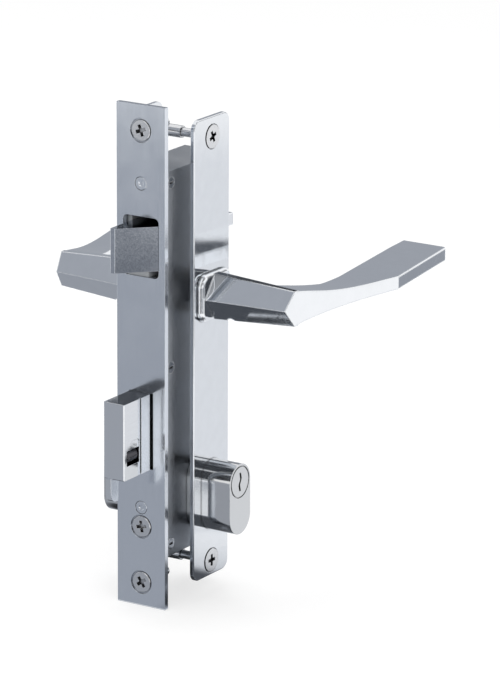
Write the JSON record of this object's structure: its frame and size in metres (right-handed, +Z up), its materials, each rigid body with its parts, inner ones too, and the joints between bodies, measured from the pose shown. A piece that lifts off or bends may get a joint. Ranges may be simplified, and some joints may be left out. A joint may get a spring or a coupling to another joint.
{
  "type": "mortice door lock set",
  "caption": "Narrow mortice lock with bevelled latch, hooked dead bolt, oval key cylinder, back plates and lever handles on both sides.",
  "frame": {"origin": "on the forend's front face, mid door thickness, at the height of the spindle axis", "axes": "+X out of the outer side of the door, -Y out of the door's edge, square to the forend, +Z up"},
  "size_m": [0.1552, 0.1708, 0.2314],
  "materials": {
    "forend_steel": "satin rolled stainless strip",
    "screw_steel": "bright plated screw heads",
    "case_steel": "zinc-plated pressed steel",
    "spring_steel": "drawn spring wire",
    "latch_zinc": "nickel-plated casting",
    "bolt_steel": "nickel-plated steel",
    "dark_insert": "blackened hardened steel",
    "guide_plastic": "grey moulded nylon",
    "cylinder_nickel": "nickel-plated brass, satin",
    "pin_brass": "turned brass",
    "plate_chrome": "polished chrome",
    "lever_chrome": "polished chrome"
  },
  "bodies": {
    "lock_case": {"forend": "forend_steel", "forend_rivets": "forend_steel", "forend_fixing_screws": "screw_steel", "cylinder_fixing_screw": "screw_steel", "case_body": "case_steel", "case_cover": "case_steel", "case_posts": "case_steel", "cover_screws": "screw_steel", "latch_guide": "guide_plastic", "spring_seat": "case_steel", "latch_spring": "spring_steel", "follower_spring": "spring_steel", "bolt_guide": "guide_plastic", "cylinder_body": "cylinder_nickel", "driver_pins": "pin_brass", "outer_plate": "plate_chrome", "inner_plate": "plate_chrome", "plate_screws": "screw_steel", "plate_sleeves": "screw_steel", "outer_bearing": "guide_plastic", "inner_bearing": "guide_plastic"},
    "handles": {"outer_lever": "lever_chrome", "inner_lever": "lever_chrome", "spindle": "case_steel", "follower": "case_steel", "outer_circlip": "spring_steel", "inner_circlip": "spring_steel", "outer_grub_screw": "screw_steel", "inner_grub_screw": "screw_steel"},
    "latch": {"latch_bolt": "latch_zinc", "latch_tail": "case_steel", "latch_pin": "case_steel"},
    "bolt": {"dead_bolt": "bolt_steel", "hook_cover": "bolt_steel", "bolt_insert": "dark_insert", "insert_keeper": "bolt_steel"},
    "hook": {"bolt_hook": "bolt_steel"},
    "outer_key_plug": {"outer_plug": "cylinder_nickel", "outer_plug_clip": "spring_steel", "outer_key_pins": "pin_brass"},
    "inner_key_plug": {"inner_plug": "cylinder_nickel", "inner_plug_clip": "spring_steel", "inner_key_pins": "pin_brass"},
    "cam": {"cylinder_cam": "case_steel", "cam_clutch": "case_steel"}
  },
  "joints": [
    {"name": "handle_turn", "type": "hinge", "parent": "lock_case", "child": "handles", "pos_m": [0, 0.029, 0], "axis": [1, 0, 0], "range_deg": [-45, 0], "stiffness_Nm_per_rad": 1, "springref_deg": 45.84, "deforming": ["follower_spring"]},
    {"name": "latch_slide", "type": "slide", "parent": "lock_case", "child": "latch", "axis": [0, 1, 0], "range_m": [0, 0.0135], "deforming": ["latch_spring"]},
    {"name": "key_turn", "type": "hinge", "parent": "lock_case", "child": "outer_key_plug", "pos_m": [0, 0.029, -0.085], "axis": [1, 0, 0], "range_deg": [-108, 0]},
    {"name": "cam_turn", "type": "hinge", "parent": "lock_case", "child": "cam", "pos_m": [0, 0.029, -0.085], "axis": [1, 0, 0], "range_deg": [-108, 0]},
    {"name": "bolt_throw", "type": "slide", "parent": "lock_case", "child": "bolt", "axis": [0, 1, 0], "range_m": [0, 0.022]},
    {"name": "hook_lift", "type": "slide", "parent": "bolt", "child": "hook", "axis": [0, 0, 1], "range_m": [0, 0.0176]},
    {"name": "inner_key_turn", "type": "hinge", "parent": "lock_case", "child": "inner_key_plug", "pos_m": [0, 0.029, -0.085], "axis": [1, 0, 0], "range_deg": [-108, 0]}
  ],
  "couplings": [
    {"joint": "latch_slide", "follows": "handle_turn", "m_per_rad": -0.017188},
    {"joint": "key_turn", "follows": "bolt_throw", "rad_per_m": -85.68},
    {"joint": "cam_turn", "follows": "bolt_throw", "rad_per_m": -85.68},
    {"joint": "hook_lift", "follows": "bolt_throw", "ratio": 0.8}
  ]
}
